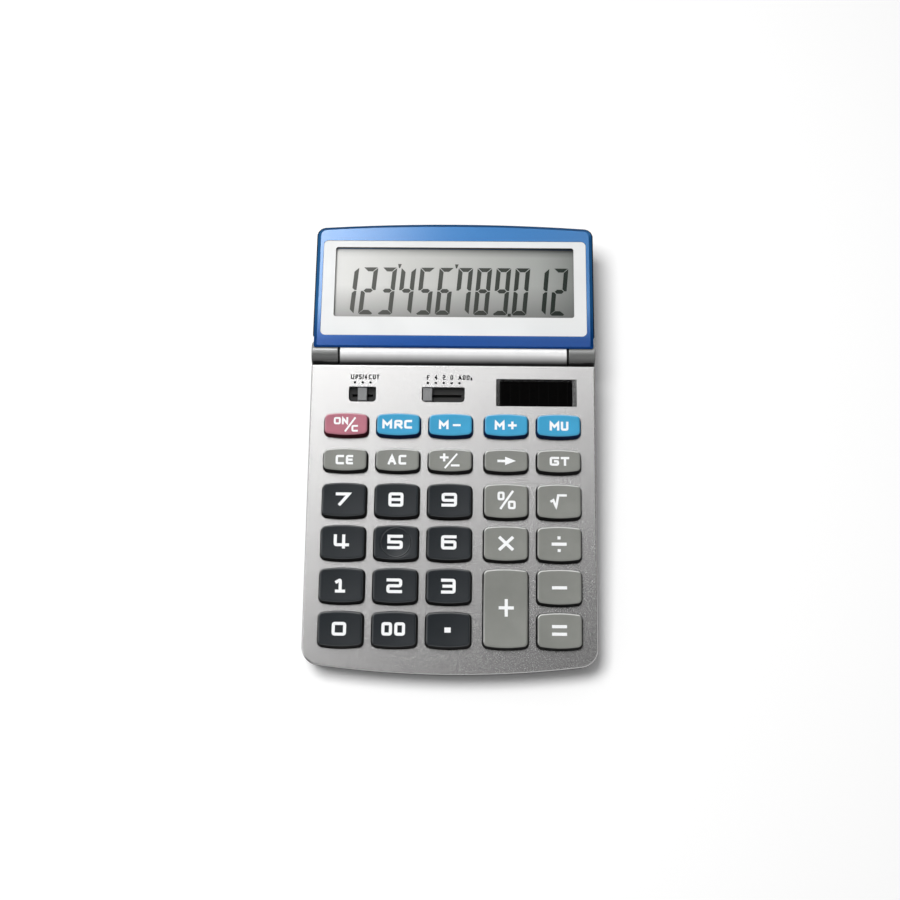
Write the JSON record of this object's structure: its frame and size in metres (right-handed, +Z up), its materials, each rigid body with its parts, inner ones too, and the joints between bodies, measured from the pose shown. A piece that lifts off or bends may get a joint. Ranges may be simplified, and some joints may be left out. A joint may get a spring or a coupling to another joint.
{
  "type": "desktop calculator",
  "caption": "Desktop calculator with a sloping silver keyboard, coloured press keys, slide switches, a solar cell and a blue display unit that tilts on a barrel hinge.",
  "frame": {"origin": "middle of the outline seen from above, on the plane the rubber feet stand on", "axes": "+X to the right, +Y from the front edge to the back of the display, +Z up"},
  "size_m": [0.1078, 0.1749, 0.0223],
  "materials": {
    "silver_plastic": "silver metallic paint on moulded plastic, fine speckle",
    "dark_plastic": "dark moulded plastic, fine texture",
    "keypad_rubber": "translucent grey silicone rubber",
    "carbon": "black conductive rubber",
    "circuit_board": "green solder mask on laminate",
    "epoxy": "black epoxy",
    "screw_steel": "dark zinc plate",
    "switch_grey": "moulded grey",
    "switch_dark": "moulded black",
    "solar_glass": "dark brown amorphous silicon behind glass",
    "foot_rubber": "matt black rubber",
    "cell_steel": "polished nickel plate",
    "spring_steel": "nickel-plated spring strip",
    "grey_plastic": "dark grey satin plastic",
    "pin_steel": "turned steel",
    "washer_nylon": "natural nylon",
    "blue_plastic": "blue metallic lacquer, satin",
    "white_panel": "white printed panel",
    "lcd_glass": "grey-green liquid crystal behind glass",
    "connector_rubber": "striped conductive rubber",
    "holder_plastic": "white moulded plastic",
    "wire_jacket": "insulated wire bundle",
    "key_pink": "pink-red moulded plastic",
    "key_blue": "light blue moulded plastic",
    "key_grey": "grey moulded plastic",
    "key_charcoal": "charcoal moulded plastic"
  },
  "bodies": {
    "base": {"top_cover": "silver_plastic", "bottom_case": "dark_plastic", "rubber_keypad": "keypad_rubber", "carbon_pills": "carbon", "main_board": "circuit_board", "board_components": "epoxy", "case_screws": "screw_steel", "round_switch_body": "switch_dark", "decimal_switch_body": "switch_dark", "solar_cell": "solar_glass", "rubber_feet": "foot_rubber", "button_cell": "cell_steel", "battery_contacts": "spring_steel", "hinge_barrel": "silver_plastic", "base_wires": "wire_jacket"},
    "display": {"hinge_cap_left": "grey_plastic", "hinge_cap_right": "grey_plastic", "hinge_pins": "pin_steel", "hinge_washers": "washer_nylon", "display_frame": "blue_plastic", "display_panel": "white_panel", "lcd_glass": "lcd_glass", "lcd_connector": "connector_rubber", "display_board": "circuit_board", "lcd_holder": "holder_plastic", "display_rear_case": "dark_plastic", "display_screws": "screw_steel", "display_wires": "wire_jacket"},
    "round_switch": {"round_switch_knob": "switch_grey"},
    "decimal_switch": {"decimal_switch_knob": "switch_grey"},
    "battery_door": {"battery_door": "dark_plastic"},
    "key_0": {"key_0": "key_charcoal"},
    "key_00": {"key_00": "key_charcoal"},
    "key_point": {"key_point": "key_charcoal"},
    "key_equals": {"key_equals": "key_grey"},
    "key_1": {"key_1": "key_charcoal"},
    "key_2": {"key_2": "key_charcoal"},
    "key_3": {"key_3": "key_charcoal"},
    "key_plus": {"key_plus": "key_grey"},
    "key_minus": {"key_minus": "key_grey"},
    "key_4": {"key_4": "key_charcoal"},
    "key_5": {"key_5": "key_charcoal"},
    "key_6": {"key_6": "key_charcoal"},
    "key_times": {"key_times": "key_grey"},
    "key_divide": {"key_divide": "key_grey"},
    "key_7": {"key_7": "key_charcoal"},
    "key_8": {"key_8": "key_charcoal"},
    "key_9": {"key_9": "key_charcoal"},
    "key_percent": {"key_percent": "key_grey"},
    "key_root": {"key_root": "key_grey"},
    "key_ce": {"key_ce": "key_grey"},
    "key_ac": {"key_ac": "key_grey"},
    "key_sign": {"key_sign": "key_grey"},
    "key_arrow": {"key_arrow": "key_grey"},
    "key_gt": {"key_gt": "key_grey"},
    "key_on_c": {"key_on_c": "key_pink"},
    "key_mrc": {"key_mrc": "key_blue"},
    "key_m_minus": {"key_m_minus": "key_blue"},
    "key_m_plus": {"key_m_plus": "key_blue"},
    "key_mu": {"key_mu": "key_blue"}
  },
  "joints": [
    {"name": "display_tilt", "type": "hinge", "parent": "base", "child": "display", "pos_m": [0, 0.03433, 0.01614], "axis": [1, 0, 0], "range_deg": [0, 60]},
    {"name": "round_switch_slide", "type": "slide", "parent": "base", "child": "round_switch", "axis": [1, 0, 0], "range_m": [-0.00295, 0.00295]},
    {"name": "decimal_switch_slide", "type": "slide", "parent": "base", "child": "decimal_switch", "axis": [1, 0, 0], "range_m": [0, 0.0118]},
    {"name": "battery_door_slide", "type": "slide", "parent": "base", "child": "battery_door", "axis": [0, 1, 0], "range_m": [0, 0.018]},
    {"name": "press_0", "type": "slide", "parent": "base", "child": "key_0", "axis": [0, 0.0698, -0.9976], "range_m": [0, 0.0013], "stiffness_N_per_m": 350, "deforming": ["rubber_keypad"]},
    {"name": "press_00", "type": "slide", "parent": "base", "child": "key_00", "axis": [0, 0.0698, -0.9976], "range_m": [0, 0.0013], "stiffness_N_per_m": 350, "deforming": ["rubber_keypad"]},
    {"name": "press_point", "type": "slide", "parent": "base", "child": "key_point", "axis": [0, 0.0698, -0.9976], "range_m": [0, 0.0013], "stiffness_N_per_m": 350, "deforming": ["rubber_keypad"]},
    {"name": "press_equals", "type": "slide", "parent": "base", "child": "key_equals", "axis": [0, 0.0698, -0.9976], "range_m": [0, 0.0013], "stiffness_N_per_m": 350, "deforming": ["rubber_keypad"]},
    {"name": "press_1", "type": "slide", "parent": "base", "child": "key_1", "axis": [0, 0.0698, -0.9976], "range_m": [0, 0.0013], "stiffness_N_per_m": 350, "deforming": ["rubber_keypad"]},
    {"name": "press_2", "type": "slide", "parent": "base", "child": "key_2", "axis": [0, 0.0698, -0.9976], "range_m": [0, 0.0013], "stiffness_N_per_m": 350, "deforming": ["rubber_keypad"]},
    {"name": "press_3", "type": "slide", "parent": "base", "child": "key_3", "axis": [0, 0.0698, -0.9976], "range_m": [0, 0.0013], "stiffness_N_per_m": 350, "deforming": ["rubber_keypad"]},
    {"name": "press_plus", "type": "slide", "parent": "base", "child": "key_plus", "axis": [0, 0.0698, -0.9976], "range_m": [0, 0.0013], "stiffness_N_per_m": 350, "deforming": ["rubber_keypad"]},
    {"name": "press_minus", "type": "slide", "parent": "base", "child": "key_minus", "axis": [0, 0.0698, -0.9976], "range_m": [0, 0.0013], "stiffness_N_per_m": 350, "deforming": ["rubber_keypad"]},
    {"name": "press_4", "type": "slide", "parent": "base", "child": "key_4", "axis": [0, 0.0698, -0.9976], "range_m": [0, 0.0013], "stiffness_N_per_m": 350, "deforming": ["rubber_keypad"]},
    {"name": "press_5", "type": "slide", "parent": "base", "child": "key_5", "axis": [0, 0.0698, -0.9976], "range_m": [0, 0.0013], "stiffness_N_per_m": 350, "deforming": ["rubber_keypad"]},
    {"name": "press_6", "type": "slide", "parent": "base", "child": "key_6", "axis": [0, 0.0698, -0.9976], "range_m": [0, 0.0013], "stiffness_N_per_m": 350, "deforming": ["rubber_keypad"]},
    {"name": "press_times", "type": "slide", "parent": "base", "child": "key_times", "axis": [0, 0.0698, -0.9976], "range_m": [0, 0.0013], "stiffness_N_per_m": 350, "deforming": ["rubber_keypad"]},
    {"name": "press_divide", "type": "slide", "parent": "base", "child": "key_divide", "axis": [0, 0.0698, -0.9976], "range_m": [0, 0.0013], "stiffness_N_per_m": 350, "deforming": ["rubber_keypad"]},
    {"name": "press_7", "type": "slide", "parent": "base", "child": "key_7", "axis": [0, 0.0698, -0.9976], "range_m": [0, 0.0013], "stiffness_N_per_m": 350, "deforming": ["rubber_keypad"]},
    {"name": "press_8", "type": "slide", "parent": "base", "child": "key_8", "axis": [0, 0.0698, -0.9976], "range_m": [0, 0.0013], "stiffness_N_per_m": 350, "deforming": ["rubber_keypad"]},
    {"name": "press_9", "type": "slide", "parent": "base", "child": "key_9", "axis": [0, 0.0698, -0.9976], "range_m": [0, 0.0013], "stiffness_N_per_m": 350, "deforming": ["rubber_keypad"]},
    {"name": "press_percent", "type": "slide", "parent": "base", "child": "key_percent", "axis": [0, 0.0698, -0.9976], "range_m": [0, 0.0013], "stiffness_N_per_m": 350, "deforming": ["rubber_keypad"]},
    {"name": "press_root", "type": "slide", "parent": "base", "child": "key_root", "axis": [0, 0.0698, -0.9976], "range_m": [0, 0.0013], "stiffness_N_per_m": 350, "deforming": ["rubber_keypad"]},
    {"name": "press_ce", "type": "slide", "parent": "base", "child": "key_ce", "axis": [0, 0.0698, -0.9976], "range_m": [0, 0.0013], "stiffness_N_per_m": 350, "deforming": ["rubber_keypad"]},
    {"name": "press_ac", "type": "slide", "parent": "base", "child": "key_ac", "axis": [0, 0.0698, -0.9976], "range_m": [0, 0.0013], "stiffness_N_per_m": 350, "deforming": ["rubber_keypad"]},
    {"name": "press_sign", "type": "slide", "parent": "base", "child": "key_sign", "axis": [0, 0.0698, -0.9976], "range_m": [0, 0.0013], "stiffness_N_per_m": 350, "deforming": ["rubber_keypad"]},
    {"name": "press_arrow", "type": "slide", "parent": "base", "child": "key_arrow", "axis": [0, 0.0698, -0.9976], "range_m": [0, 0.0013], "stiffness_N_per_m": 350, "deforming": ["rubber_keypad"]},
    {"name": "press_gt", "type": "slide", "parent": "base", "child": "key_gt", "axis": [0, 0.0698, -0.9976], "range_m": [0, 0.0013], "stiffness_N_per_m": 350, "deforming": ["rubber_keypad"]},
    {"name": "press_on_c", "type": "slide", "parent": "base", "child": "key_on_c", "axis": [0, 0.0698, -0.9976], "range_m": [0, 0.0013], "stiffness_N_per_m": 350, "deforming": ["rubber_keypad"]},
    {"name": "press_mrc", "type": "slide", "parent": "base", "child": "key_mrc", "axis": [0, 0.0698, -0.9976], "range_m": [0, 0.0013], "stiffness_N_per_m": 350, "deforming": ["rubber_keypad"]},
    {"name": "press_m_minus", "type": "slide", "parent": "base", "child": "key_m_minus", "axis": [0, 0.0698, -0.9976], "range_m": [0, 0.0013], "stiffness_N_per_m": 350, "deforming": ["rubber_keypad"]},
    {"name": "press_m_plus", "type": "slide", "parent": "base", "child": "key_m_plus", "axis": [0, 0.0698, -0.9976], "range_m": [0, 0.0013], "stiffness_N_per_m": 350, "deforming": ["rubber_keypad"]},
    {"name": "press_mu", "type": "slide", "parent": "base", "child": "key_mu", "axis": [0, 0.0698, -0.9976], "range_m": [0, 0.0013], "stiffness_N_per_m": 350, "deforming": ["rubber_keypad"]}
  ]
}
